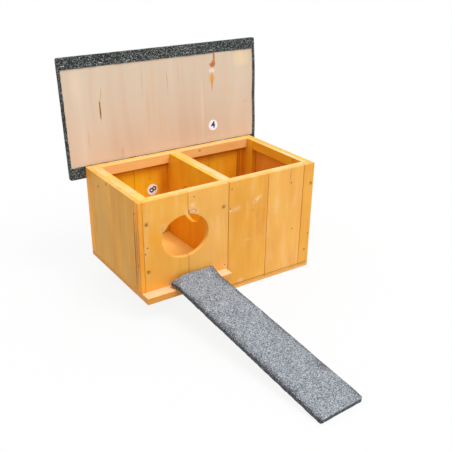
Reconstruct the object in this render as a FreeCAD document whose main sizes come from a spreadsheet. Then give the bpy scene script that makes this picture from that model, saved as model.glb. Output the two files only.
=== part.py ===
import FreeCAD, Part
import Sketcher
import os
import re

os.makedirs("parts", exist_ok=True)
doc = FreeCAD.newDocument("DuckHouse")

# Driving sizes in millimetres. X runs along the front from left to right, Y from the front to the back
# and Z up. Places are measured from the front left corner of the house at ground level.
SIZES = {
    # Outside of the box. Its left end stops at step_rise above the ground, the rest reaches the ground. The
    # step between them lies step_inset to the right of the first joint between boards.
    "box_w": 600, "box_d": 338, "box_h": 350, "step_rise": 60, "step_inset": 16,
    # Board thicknesses: walls, the floor of each chamber, and the landing ledge.
    "board_t": 12, "base_t": 9, "floor_t": 15, "ledge_t": 20,
    # Joints between the upright boards, as shares of the box's width from the left and of its depth from the
    # front, and the width of the two narrow boards that cover the left corners.
    "front_b_share": 0.255, "front_c_share": 0.48, "front_d_share": 0.7117, "front_e_share": 0.935,
    "left_c_share": 0.494, "right_b_share": 0.4467, "right_c_share": 0.858, "divider_share": 0.553,
    "corner_w": 28,
    # Battens inside the walls: the rails along the top and the posts in the corners.
    "rail_t": 16, "left_rail_t": 26, "rail_drop": 30, "front_post_w": 60, "back_post_w": 45,
    # Dividing wall: its left face and the rail along its top.
    "divider_x": 272, "divider_rail_t": 24,
    # Landing ledge in front of the entrance.
    "ledge_w": 280, "ledge_reach": 34,
    # Entrance in the front wall and passage in the dividing wall, both oval: middle, width and height.
    "entrance_x": 143.5, "entrance_z": 222, "entrance_w": 150, "entrance_h": 128,
    "passage_y": 187, "passage_z": 222, "passage_w": 120, "passage_h": 112,
    # Lid: plywood panel covered with roofing felt that is folded under all its edges, widest at the front and
    # back. It overhangs the ends of the box, and its closed front edge lies lid_inset behind the boards.
    "ply_t": 9, "felt_t": 2, "lid_left": 49, "lid_right": 24, "lid_inset": 22, "lid_heel": 35,
    "front_fold": 33, "back_fold": 30, "left_fold": 4, "right_fold": 8, "lid_air": 0.3, "heel_air": 0.3,
    # Butt hinges, let into the back boards.
    "hinge_w": 60, "leaf_h": 18, "leaf_t": 1.2, "barrel_r": 1.75, "pin_r": 0.9, "pin_air": 0.05,
    "knuckle_gap": 0.4, "knuckle_air": 0.3, "hinge_inset": 100,
    # Ramp: a plank covered with felt, laid loose on the ledge.
    "ramp_w": 138, "ramp_len": 595, "ramp_t": 12, "ramp_felt_t": 3, "ramp_hem": 3,
    "ramp_right": 228, "ramp_yaw": 3.65, "ramp_air": 1, "rest_air": 0.2,
}

sheet = doc.addObject("Spreadsheet::Sheet", "Sizes")
for row, (alias, value) in enumerate(SIZES.items(), start=1):
    sheet.set(f"A{row}", alias)
    sheet.set(f"B{row}", str(value))
    sheet.setAlias(f"B{row}", alias)
doc.recompute()

# Places worked out from the sizes.
LEDGE_TOP = "(step_rise + ledge_t)"
FLOOR_TOP = "(step_rise + floor_t)"
FRONT_JOINTS = ["board_t"] + [f"(front_{letter}_share * box_w)" for letter in "bcde"]
STEP_X = f"({FRONT_JOINTS[1]} + step_inset)"
RAIL_Z = "(box_h - rail_drop)"
BACK_IN = "(box_d - board_t)"
RIGHT_IN = "(box_w - board_t)"
DIVIDER_END = "(divider_x + board_t + divider_rail_t)"
AXIS_OUT = "(barrel_r - leaf_t + knuckle_air)"
AXIS_Y = f"(box_d + {AXIS_OUT})"
AXIS_Z = "(box_h + lid_air - barrel_r)"
LID_REACH = f"({AXIS_Y} - lid_inset)"
LID_LEAN = f"asin((barrel_r + {AXIS_OUT} - heel_air) / lid_heel)"
RAMP_RUN = "(ramp_len + ramp_felt_t)"
RAMP_PITCH = f"asin(({LEDGE_TOP} + rest_air) / ({RAMP_RUN} - (ledge_reach - ramp_air) / cos(ramp_yaw)))"


def bound(text):
    """Expression in which each size name points at its cell."""
    return re.sub(r"[a-z_]+", lambda m: f"Sizes.{m[0]}" if m[0] in SIZES else m[0], text)


def frame(name, parent, place, turn):
    """Named coordinate frame, given in its parent frame."""
    item = doc.addObject("App::Placement", name)
    inner = f"placement(vector({'; '.join(place)}); {turn})"
    item.setExpression("Placement", bound(f"{parent}.Placement * {inner}" if parent else inner))
    return name


def about(axis, angle):
    """Turn about one of the three axes."""
    vector = {"X": "1; 0; 0", "Y": "0; 1; 0", "Z": "0; 0; 1"}[axis]
    return f"rotation(vector({vector}); {angle})"


FLAT = about("X", "0")
HOUSE = frame("House", None, ("-box_w / 2", "-box_d / 2", "0"), FLAT)
LID = frame("LidHinge", HOUSE, ("0", AXIS_Y, AXIS_Z), about("X", f"-90 deg - {LID_LEAN}"))
FOOT_X = f"ramp_right + {RAMP_RUN} * cos({RAMP_PITCH}) * sin(ramp_yaw)"
FOOT_Y = f"-ramp_air - {RAMP_RUN} * cos({RAMP_PITCH}) * cos(ramp_yaw)"
RAMP_TURN = about("Z", "ramp_yaw") + " * " + about("X", RAMP_PITCH)
RAMP = frame("RampFoot", HOUSE, (FOOT_X, FOOT_Y, "0"), RAMP_TURN)

nodes = []


def settle(item, label, place, turn, where):
    """Place an object in a frame and name it."""
    item.Label = label
    inner = f"placement(vector({'; '.join(place)}); {turn})"
    item.setExpression("Placement", bound(f"{where}.Placement * {inner}"))
    return item


def node(item):
    """Count a finished object as a sub-part with its own file."""
    nodes.append(item)
    return item


def block(label, x, y, z, where=HOUSE):
    """Rectangular piece between two places along each axis."""
    item = doc.addObject("Part::Box", label)
    for side, (low, high) in zip(("Length", "Width", "Height"), (x, y, z)):
        item.setExpression(side, bound(f"({high}) - ({low})"))
    return settle(item, label, (x[0], y[0], z[0]), FLAT, where)


def rod(label, radius, length, place, turn, where=HOUSE):
    """Round bar that starts at a place and runs along its own Z axis."""
    item = doc.addObject("Part::Cylinder", label)
    item.setExpression("Radius", bound(radius))
    item.setExpression("Height", bound(length))
    return settle(item, label, place, turn, where)


def cut(base, tools, label):
    """Piece with recesses or holes taken out. It takes over the label, and its blank gets another."""
    for tool in tools:
        item = doc.addObject("Part::Cut", label + "_cut")
        item.Base = base
        item.Tool = tool
        base.Label = item.Name + "_blank"
        base = item
    base.Label = label
    return base


def joined(shapes, label):
    """Touching shapes joined into one solid, or apart as a group of solids."""
    item = doc.addObject("Part::MultiFuse", label)
    item.Shapes = shapes
    item.Refine = True
    item.Label = label
    return item


def outlined(label, corners, thickness, place, turn, where=HOUSE):
    """Flat piece sawn or stamped to a straight-edged outline, which is drawn in its own XY plane."""
    body = doc.addObject("PartDesign::Body", label)
    settle(body, label, place, turn, where)
    sketch = body.newObject("Sketcher::SketchObject", label + "_outline")
    plane = next(item for item in body.Origin.OriginFeatures if item.Role == "XY_Plane")
    sketch.AttachmentSupport = (plane, [""])
    sketch.MapMode = "FlatFace"
    points = []
    for corner in corners:
        points.append(FreeCAD.Vector(*(float(sheet.evalExpression(bound(value))) for value in corner)))
    for index, point in enumerate(points):
        sketch.addGeometry(Part.LineSegment(point, points[(index + 1) % len(points)]))
    for index in range(len(points)):
        sketch.addConstraint(Sketcher.Constraint("Coincident", index, 2, (index + 1) % len(points), 1))
    for index, corner in enumerate(corners):
        for kind, value, start in zip(("DistanceX", "DistanceY"), corner, points[index]):
            number = sketch.addConstraint(Sketcher.Constraint(kind, -1, 1, index, 1, start))
            sketch.setExpression(f"Constraints[{number}]", bound(value))
    pad = body.newObject("PartDesign::Pad", label + "_pad")
    pad.Profile = sketch
    pad.setExpression("Length", bound(thickness))
    return body


def wrapping(label, x, y, z, bend, edges_from, where):
    """Outside of a felt cover with rounded bends. Edges below edges_from stay sharp, as cut."""
    body = doc.addObject("PartDesign::Body", label)
    settle(body, label, (x[0], y[0], z[0]), FLAT, where)
    outside = body.newObject("PartDesign::AdditiveBox", label + "_outside")
    for side, (low, high) in zip(("Length", "Width", "Height"), (x, y, z)):
        outside.setExpression(side, bound(f"({high}) - ({low})"))
    doc.recompute()
    edges = enumerate(outside.Shape.Edges, start=1)
    bends = body.newObject("PartDesign::Fillet", label + "_bends")
    bends.Base = (outside, [f"Edge{number}" for number, edge in edges if edge.CenterOfMass.z >= edges_from])
    bends.setExpression("Radius", bound(bend))
    return body


def oval(label, middle, width, height, length, turn, sweep):
    """Oval cutter: an ellipse swept along the wall's thickness."""
    curve = doc.addObject("Part::Ellipse", label + "_curve")
    curve.setExpression("MajorRadius", bound(f"max({width}; {height}) / 2"))
    curve.setExpression("MinorRadius", bound(f"min({width}; {height}) / 2"))
    upright = about("Z", f"{height} > {width} ? 90 : 0")
    settle(curve, label + "_curve", middle, f"{turn} * {upright}", HOUSE)
    item = doc.addObject("Part::Extrusion", label)
    item.Base = curve
    item.DirMode = "Custom"
    item.Dir = FreeCAD.Vector(*sweep)
    item.Solid = True
    item.setExpression("LengthFwd", bound(length))
    item.Label = label
    return item


# Front wall
# Five upright boards. The first stands on the ledge, the others on the base. The entrance is sawn through
# the first two, and the second is notched at its foot to fit over the ledge.
entrance = oval("entrance", ("entrance_x", "-board_t", "entrance_z"), "entrance_w", "entrance_h",
                "3 * board_t", about("X", "90 deg"), (0, 1, 0))
STEP_NOTCH = (f"{FRONT_JOINTS[1]} - board_t", STEP_X)
front_notch = block("front_notch", STEP_NOTCH, ("-board_t", "2 * board_t"), ("0", LEDGE_TOP))
front_cuts = {"a": [entrance], "b": [entrance, front_notch]}
front_edges = FRONT_JOINTS + ["box_w"]
front_bottoms = [LEDGE_TOP] + ["base_t"] * 4
for index, letter in enumerate("abcde"):
    name = f"front_board_{letter}"
    span = (front_edges[index], front_edges[index + 1])
    board = block(name, span, ("0", "board_t"), (front_bottoms[index], "box_h"))
    node(cut(board, front_cuts.get(letter, []), name))

# Back wall
# Four upright boards between the side walls, the first on the left floor and the others on the base. The
# second is notched at its foot to fit over that floor. The outer two have a shallow recess for a hinge leaf.
HINGES = {"left": ("hinge_inset", "a"), "right": ("(box_w - hinge_inset)", "d")}
back_edges = FRONT_JOINTS[:4] + [RIGHT_IN]
back_bottoms = [FLOOR_TOP] + ["base_t"] * 3
boards = {}
for index, letter in enumerate("abcd"):
    span = (back_edges[index], back_edges[index + 1])
    boards[letter] = block(f"back_board_{letter}", span, (BACK_IN, "box_d"), (back_bottoms[index], "box_h"))
back_notch = block("back_notch", STEP_NOTCH, (f"{BACK_IN} - board_t", "box_d + board_t"), ("0", FLOOR_TOP))
boards["b"] = cut(boards["b"], [back_notch], "back_board_b")
for side, (middle, letter) in HINGES.items():
    recess = block(f"{side}_hinge_recess", (f"{middle} - hinge_w / 2", f"{middle} + hinge_w / 2"),
                   ("box_d - leaf_t", "box_d + leaf_t"), (f"{AXIS_Z} - leaf_h", "box_h + leaf_t"))
    boards[letter] = cut(boards[letter], [recess], f"back_board_{letter}")
for board in boards.values():
    node(board)

# Side walls
# Upright boards that run past the back wall. On the left a narrow board covers each end, and on the right
# the last front board covers the front end.
LEFT_EDGES = ["0", "corner_w", "left_c_share * box_d", "box_d - corner_w", "box_d"]
LEFT_BOTTOMS = [LEDGE_TOP] + [FLOOR_TOP] * 3
for index, letter in enumerate("abcd"):
    span = (LEFT_EDGES[index], LEFT_EDGES[index + 1])
    node(block(f"left_board_{letter}", ("0", "board_t"), span, (LEFT_BOTTOMS[index], "box_h")))

RIGHT_EDGES = ["board_t", "right_b_share * box_d", "right_c_share * box_d", "box_d"]
for index, letter in enumerate("abc"):
    span = (RIGHT_EDGES[index], RIGHT_EDGES[index + 1])
    node(block(f"right_board_{letter}", (RIGHT_IN, "box_w"), span, ("base_t", "box_h")))

# Corner posts and top rails
# The side rails fit between the posts. The front and back rails run from side to side between them.
LEFT_FRAME = ("board_t", "board_t + left_rail_t")
RIGHT_FRAME = (f"{RIGHT_IN} - rail_t", RIGHT_IN)
FRONT_POST = ("board_t", "board_t + front_post_w")
BACK_POST = (f"{BACK_IN} - back_post_w", BACK_IN)
node(block("front_left_post", LEFT_FRAME, FRONT_POST, (LEDGE_TOP, "box_h")))
node(block("back_left_post", LEFT_FRAME, BACK_POST, (FLOOR_TOP, "box_h")))
node(block("front_right_post", RIGHT_FRAME, FRONT_POST, ("base_t", "box_h")))
node(block("back_right_post", RIGHT_FRAME, BACK_POST, ("base_t", "box_h")))

TOP = (RAIL_Z, "box_h")
ACROSS = (LEFT_FRAME[1], RIGHT_FRAME[0])
BETWEEN_POSTS = (FRONT_POST[1], BACK_POST[0])
FRONT_RAIL = ("board_t", "board_t + rail_t")
BACK_RAIL = (f"{BACK_IN} - rail_t", BACK_IN)
node(block("front_rail", ACROSS, FRONT_RAIL, TOP))
node(block("back_rail", ACROSS, BACK_RAIL, TOP))
node(block("left_rail", LEFT_FRAME, BETWEEN_POSTS, TOP))
node(block("right_rail", RIGHT_FRAME, BETWEEN_POSTS, TOP))

# Dividing wall
# Two upright boards between the front and back rails, with a rail along their top and a post under each
# wall rail. The passage is sawn through both boards.
passage = oval("passage", ("divider_x - board_t", "passage_y", "passage_z"), "passage_w", "passage_h",
               "3 * board_t", about("Z", "90 deg") + " * " + about("X", "90 deg"), (1, 0, 0))
DIVIDER = ("divider_x", "divider_x + board_t")
DIVIDER_EDGES = [FRONT_RAIL[1], "divider_share * box_d", BACK_RAIL[0]]
for index, end in enumerate(("front", "back")):
    name = f"divider_board_{end}"
    span = (DIVIDER_EDGES[index], DIVIDER_EDGES[index + 1])
    node(cut(block(name, DIVIDER, span, ("base_t", "box_h")), [passage], name))
node(block("divider_rail", (DIVIDER[1], DIVIDER_END), (FRONT_RAIL[1], BACK_RAIL[0]), TOP))
node(block("divider_post_front", ("divider_x", DIVIDER_END), FRONT_RAIL, ("base_t", RAIL_Z)))
node(block("divider_post_back", ("divider_x", DIVIDER_END), BACK_RAIL, ("base_t", RAIL_Z)))

# Floors
# The base board under the right chamber reaches left to the step. A closing board stands on it there and
# carries the higher floor of the left chamber, which is notched round the long boards beyond the step.
node(block("base_board", (STEP_X, "box_w"), ("0", "box_d"), ("0", "base_t")))
node(block("step_board", (STEP_X, f"{STEP_X} + board_t"), ("board_t", BACK_IN), ("base_t", "step_rise")))
FLOOR_OUTLINE = [
    ("0", "corner_w"), (STEP_X, "corner_w"), (STEP_X, "board_t"), ("divider_x", "board_t"),
    ("divider_x", BACK_IN), (STEP_X, BACK_IN), (STEP_X, "box_d"), ("0", "box_d"),
]
node(outlined("left_floor", FLOOR_OUTLINE, "floor_t", ("0", "0", "step_rise"), FLAT))

# Landing ledge
# A tongue runs under the first front board, and the rest passes in front of the long boards.
LEDGE_OUTLINE = [
    ("0", "-ledge_reach"), ("ledge_w", "-ledge_reach"), ("ledge_w", "0"),
    (STEP_X, "0"), (STEP_X, "corner_w"), ("0", "corner_w"),
]
node(outlined("ledge", LEDGE_OUTLINE, "ledge_t", ("0", "0", "step_rise"), FLAT))

# Hinges
# The wall leaf carries the two outer knuckles and the pin, the lid leaf the middle one. The pin is tight in
# the outer knuckles and turns freely in the middle one. Both leaves are stamped and their knuckles rolled.
ALONG = about("Y", "90 deg")
LEAF_TOP = "(barrel_r + leaf_t)"
OUTER = "(hinge_w / 3 - knuckle_gap)"
INNER_LOW = "(hinge_w / 3)"
INNER_HIGH = "(2 * hinge_w / 3)"
WALL_OUTLINE = [
    ("0", "-leaf_h"), ("hinge_w", "-leaf_h"), ("hinge_w", "0"), (f"hinge_w - {OUTER}", "0"),
    (f"hinge_w - {OUTER}", f"-{LEAF_TOP}"), (OUTER, f"-{LEAF_TOP}"), (OUTER, "0"), ("0", "0"),
]
LID_OUTLINE = [
    ("0", "leaf_h"), ("0", LEAF_TOP), (INNER_LOW, LEAF_TOP), (INNER_LOW, "0"),
    (INNER_HIGH, "0"), (INNER_HIGH, LEAF_TOP), ("hinge_w", LEAF_TOP), ("hinge_w", "leaf_h"),
]
for side, (middle, letter) in HINGES.items():
    start = f"{middle} - hinge_w / 2"
    pin = rod(f"{side}_hinge_pin", "pin_r", "hinge_w", (start, AXIS_Y, AXIS_Z), ALONG)
    node(pin)

    wall_corner = (start, "box_d", AXIS_Z)
    plate = outlined(f"{side}_wall_plate", WALL_OUTLINE, "leaf_t", wall_corner, about("X", "90 deg"))
    first = rod(f"{side}_first_knuckle", "barrel_r", OUTER, (start, AXIS_Y, AXIS_Z), ALONG)
    last_start = f"{start} + hinge_w - {OUTER}"
    last = rod(f"{side}_last_knuckle", "barrel_r", OUTER, (last_start, AXIS_Y, AXIS_Z), ALONG)
    leaf = joined([plate, first, last], f"{side}_wall_leaf_blank")
    node(cut(leaf, [pin], f"{side}_wall_leaf"))

    plate = outlined(f"{side}_lid_plate", LID_OUTLINE, "leaf_t", (start, "0", "barrel_r - leaf_t"), FLAT, LID)
    middle_start = (f"{start} + {INNER_LOW}", "0", "0")
    knuckle = rod(f"{side}_lid_knuckle", "barrel_r", "hinge_w / 3", middle_start, ALONG, LID)
    bore = rod(f"{side}_bore", "pin_r + pin_air", "hinge_w", (start, "0", "0"), ALONG, LID)
    leaf = joined([plate, knuckle], f"{side}_lid_leaf_blank")
    node(cut(leaf, [bore], f"{side}_lid_leaf"))

# Lid
# In the lid's frame the hinge axis is the X axis and the closed lid lies level, its front edge towards -Y.
# The felt runs over the panel and down its edges, and the folds leave a window under the panel.
LID_X = ("-lid_left", "box_w + lid_right")
LID_Y = (f"-{LID_REACH}", "lid_heel")
PLY_X = (f"{LID_X[0]} + felt_t", f"{LID_X[1]} - felt_t")
PLY_Y = (f"{LID_Y[0]} + felt_t", f"{LID_Y[1]} - felt_t")
PLY_Z = ("barrel_r + felt_t", "barrel_r + felt_t + ply_t")
panel = node(block("lid_panel", PLY_X, PLY_Y, PLY_Z, LID))
cover = wrapping("lid_cover", LID_X, LID_Y, ("barrel_r", f"{PLY_Z[1]} + felt_t"), "felt_t", 0, LID)
window = block("lid_window", (f"{LID_X[0]} + left_fold", f"{LID_X[1]} - right_fold"),
               (f"{LID_Y[0]} + front_fold", f"{LID_Y[1]} - back_fold"), ("0", PLY_Z[0]), LID)
node(cut(cover, [panel, window], "lid_felt"))

# Ramp
# In the ramp's frame the origin is the lower right corner, Y runs up the plank and Z is square to it. The
# felt runs over the top, the sides and both ends, and stops short of the underside.
PLANK_X = ("-ramp_w + ramp_felt_t", "-ramp_felt_t")
plank = node(block("ramp_board", PLANK_X, ("0", "ramp_len"), ("0", "ramp_t"), RAMP))
COVER_Z = ("ramp_hem", "ramp_t + ramp_felt_t")
cover = wrapping("ramp_cover", ("-ramp_w", "0"), ("-ramp_felt_t", RAMP_RUN), COVER_Z, "ramp_felt_t", 1, RAMP)
node(cut(cover, [plank], "ramp_felt"))

# Check every object, then write one file for each sub-part.
doc.recompute()
for item in doc.Objects:
    assert not {"Invalid", "Error"} & set(item.State), f"{item.Label} failed"
for item in nodes:
    assert not item.Shape.isNull(), f"{item.Label} is empty"
    assert item.Shape.isValid(), f"{item.Label} is not valid"
    item.Shape.exportStep(f"parts/{item.Label}.step")
print(len(nodes), "sub-parts")
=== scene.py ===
import bmesh
import bpy
import math
import random
from mathutils import Matrix, Vector, noise


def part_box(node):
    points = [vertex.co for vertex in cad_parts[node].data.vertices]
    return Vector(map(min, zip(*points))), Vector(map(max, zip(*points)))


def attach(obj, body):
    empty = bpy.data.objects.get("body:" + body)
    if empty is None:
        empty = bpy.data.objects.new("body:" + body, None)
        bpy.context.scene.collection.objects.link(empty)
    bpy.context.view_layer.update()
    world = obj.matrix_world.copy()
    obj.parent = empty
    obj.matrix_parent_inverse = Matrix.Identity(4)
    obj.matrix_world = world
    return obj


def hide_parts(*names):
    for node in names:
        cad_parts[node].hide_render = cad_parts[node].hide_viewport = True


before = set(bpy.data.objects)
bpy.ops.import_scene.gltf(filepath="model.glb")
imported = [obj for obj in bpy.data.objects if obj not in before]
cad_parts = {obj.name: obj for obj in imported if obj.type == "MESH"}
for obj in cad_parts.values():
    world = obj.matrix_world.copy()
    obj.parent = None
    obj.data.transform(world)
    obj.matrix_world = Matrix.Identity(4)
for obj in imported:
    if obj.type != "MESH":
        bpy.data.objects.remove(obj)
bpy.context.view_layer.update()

# Camera, floor and light
# The house stands on white paper in a white studio, under one large soft lamp high up at its front right.
# The camera looks down on it from the front left. Its place, its angles, its focal length and its shifts were
# fitted to points that were measured in the photograph.
PIXELS = 452        # width of the photograph
SENSOR = 36


def placed(name, data):
    """New object in the scene."""
    thing = bpy.data.objects.new(name, data)
    bpy.context.scene.collection.objects.link(thing)
    return thing


camera = placed("camera", bpy.data.cameras.new("camera"))
camera.location = (-0.9933, -1.5876, 1.0074)
azimuth = math.radians(32.53)
elevation = math.radians(27.16)
aim = Vector((math.sin(azimuth) * math.cos(elevation), math.cos(azimuth) * math.cos(elevation),
              -math.sin(elevation)))
camera.rotation_euler = aim.to_track_quat("-Z", "Y").to_euler()
camera.data.sensor_fit = "HORIZONTAL"
camera.data.sensor_width = SENSOR
camera.data.lens = 656.05 / PIXELS * SENSOR
camera.data.shift_x = 19.58 / PIXELS
camera.data.shift_y = 28.69 / PIXELS
camera.data.clip_end = 60
bpy.context.scene.camera = camera
bpy.context.scene.view_settings.view_transform = "Standard"

SMOOTH = {"interpolation_type": "SMOOTHSTEP"}
BLEND = {"data_type": "RGBA", "out": 2}
SHARE, UNDER, OVER = 0, 6, 7        # sockets of a node that blends two colours


def linear(code):
    """Linear colour for an sRGB hex code."""
    parts = [int(code[start:start + 2], 16) / 255 for start in (0, 2, 4)]
    return tuple(p / 12.92 if p <= 0.04045 else ((p + 0.055) / 1.055) ** 2.4 for p in parts) + (1,)


def fill(tree, item, inputs):
    """Sets or links the sockets of a node, given by name or in their order."""
    for key, value in inputs.items() if isinstance(inputs, dict) else enumerate(inputs):
        if isinstance(value, bpy.types.NodeSocket):
            tree.links.new(value, item.inputs[key])
        else:
            item.inputs[key].default_value = value


def add(tree, kind, inputs=(), out=0, **settings):
    """New shader node with its settings and its sockets filled, given back as one of its outputs."""
    item = tree.nodes.new("ShaderNode" + kind)
    for name, value in settings.items():
        setattr(item, name, value)
    fill(tree, item, inputs)
    return item.outputs[out]


def blank(name):
    """New material, with its node tree and its shader."""
    material = bpy.data.materials.new(name)
    material.use_nodes = True
    return material, material.node_tree, material.node_tree.nodes["Principled BSDF"]


def seen(tree):
    """One where the camera, a reflection or a refraction looks, and nought where light is gathered."""
    path = add(tree, "LightPath").node.outputs
    direct = add(tree, "Math", (path["Is Camera Ray"], path["Is Glossy Ray"]), operation="MAXIMUM")
    return add(tree, "Math", (direct, path["Is Transmission Ray"]), operation="MAXIMUM")


# The studio lights the house more from its ceiling than from its walls and its floor.
world = bpy.data.worlds.new("white_room")
bpy.context.scene.world = world
world.use_nodes = True
room = world.node_tree
height = add(room, "SeparateXYZ", (add(room, "TexCoord", out="Generated"),), "Z")
overhead = add(room, "MapRange", (height, -0.1, 0.95, 0.32, 1.27), **SMOOTH)
strength = add(room, "Math", (overhead, seen(room)), operation="MAXIMUM")
fill(room, room.nodes["Background"], {"Color": linear("FFFFFF"), "Strength": strength})


def mesh_of(name, bm):
    """Mesh made of a bmesh, which is used up."""
    mesh = bpy.data.meshes.new(name)
    bm.to_mesh(mesh)
    bm.free()
    return mesh


bm = bmesh.new()
bmesh.ops.create_grid(bm, x_segments=1, y_segments=1, size=25)
floor = placed("floor", mesh_of("floor", bm))
floor.location.z = -0.0006
GLOW = 0.88         # how much of the paper shows pure white, while the rest keeps the shadow of the house
paper, tree, matt = blank("matt_studio_paper")
fill(tree, matt, {"Base Color": linear("CBCBCB"), "Roughness": 1, "Specular IOR Level": 0})
white = add(tree, "Emission", {"Color": linear("FFFFFF"), "Strength": 1.0})
share = add(tree, "Math", (seen(tree), GLOW), operation="MULTIPLY")
both = add(tree, "MixShader", (share, matt.outputs[0], white))
fill(tree, tree.nodes["Material Output"], {"Surface": both})
floor.data.materials.append(paper)

sun = bpy.data.lights.new("key", "SUN")
sun.angle = math.radians(30)
sun.energy = 2.1
lamp = placed("key", sun)
lamp.rotation_euler = Vector((-0.24, 0.42, -0.87)).to_track_quat("-Z", "Y").to_euler()

# Front wall
# Five upright boards of planed pine, 12 mm thick and butted edge to edge, brushed with a honey-coloured
# glaze. The joints have opened as the boards dried, and the oval entrance was sawn through the first two.
X, Y, Z = range(3)
LOW, HIGH = range(2)
RING = 0.0042       # annual rings, 4 mm apart on a flat-sawn face
FIBRE = 0.0007      # bundles of fibres, finer on the real board and drawn as coarse as they need to show
FRAY = 0.01429      # tongues at the frayed edge of a stain, 14 mm wide
KNOT_FRAY = 0.005556    # the same at the rim of a knot, 6 mm wide
ENDLESS = 1e6
NEAR = 1e-5         # metres within which a corner lies on the edge of its board
SAME = 1e-6         # metres within which two corners are one
FLAT = math.radians(1)
ROUND = {"offset_type": "OFFSET", "profile": 0.5, "affect": "EDGES", "material": -1}


def oval(tree, place, facing, side, up, wide, high, tilt):
    """Distance from the middle of an oval, one at its edge. The oval is given in mm and goes right through
    the piece along one axis."""
    across, upward = [axis for axis in range(3) if axis != facing]
    middle, size, turn = [0, 0, 0], [ENDLESS] * 3, [0, 0, 0]
    middle[across], middle[upward] = side / 1000, up / 1000
    size[across], size[upward] = wide / 1000, high / 1000
    turn[facing] = math.radians(tilt)
    offset = add(tree, "Mapping", (place, middle, turn, size), vector_type="TEXTURE")
    return add(tree, "VectorMath", (offset,), "Value", operation="LENGTH")


def stain(tree, colour, place, facing, marks):
    """Colour with frayed ovals over it. A mark gives middle and half sizes in mm, tilt in degrees, softness,
    shade and strength."""
    frayed = add(tree, "TexNoise", {"Vector": place, "Scale": 1 / FRAY, "Detail": 4, "Roughness": 0.6})
    for side, up, wide, high, tilt, soft, code, depth in marks:
        # The fraying adds 0.45 on the whole, so that the edge of a mark lies at 1.45.
        near = oval(tree, place, facing, side, up, wide, high, tilt)
        near = add(tree, "Math", (frayed, 0.9, near), operation="MULTIPLY_ADD")
        share = add(tree, "MapRange", (near, 1.35 - soft, 1.55 + soft * 0.3, depth, 0), **SMOOTH)
        colour = add(tree, "Mix", {SHARE: share, UNDER: colour, OVER: linear(code)}, **BLEND)
    return colour


def growth_rings(tree, place, grain, sway, facing, knots):
    """Late wood of the rings, which run round the pith and bulge round the knots. Also the dark rims and the
    pale hearts of the knots, and the wood close round them."""
    flat = add(tree, "VectorMath", (grain, (0, 1, 1)), operation="MULTIPLY")
    radius = add(tree, "VectorMath", (flat,), "Value", operation="LENGTH")
    radius = add(tree, "Math", (sway, 0.02, radius), operation="MULTIPLY_ADD")
    frayed = add(tree, "TexNoise", {"Vector": place, "Scale": 1 / KNOT_FRAY, "Detail": 1})
    rim = heart = halo = 0.0
    for side, up, wide, high, tilt in knots:
        near = oval(tree, place, facing, side, up, wide, high, tilt)
        near = add(tree, "Math", (frayed, 0.3, near), operation="MULTIPLY_ADD")
        bulge = add(tree, "MapRange", (near, 0.3, 4, 0.008, 0), **SMOOTH)
        radius = add(tree, "Math", (radius, bulge), operation="ADD")
        inner = add(tree, "MapRange", (near, 0.85, 1.02), **SMOOTH)
        outer = add(tree, "MapRange", (near, 1.1, 1.35, 1, 0), **SMOOTH)
        ring = add(tree, "Math", (inner, outer), operation="MULTIPLY")
        rim = add(tree, "Math", (rim, ring), operation="MAXIMUM")
        heart = add(tree, "Math", (heart, outer), operation="MAXIMUM")
        near_by = add(tree, "MapRange", (near, 1.2, 2.6, 1, 0), **SMOOTH)
        halo = add(tree, "Math", (halo, near_by), operation="MAXIMUM")

    # Each ring darkens slowly and ends sharply.
    turn = add(tree, "Math", (radius, RING), operation="DIVIDE")
    turn = add(tree, "Math", (turn,), operation="FRACT")
    rising = add(tree, "MapRange", (turn, 0.35, 0.9), **SMOOTH)
    falling = add(tree, "MapRange", (turn, 0.93, 1, 1, 0), **SMOOTH)
    late = add(tree, "Math", (rising, falling), operation="MULTIPLY")
    return late, rim, heart, halo


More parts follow.
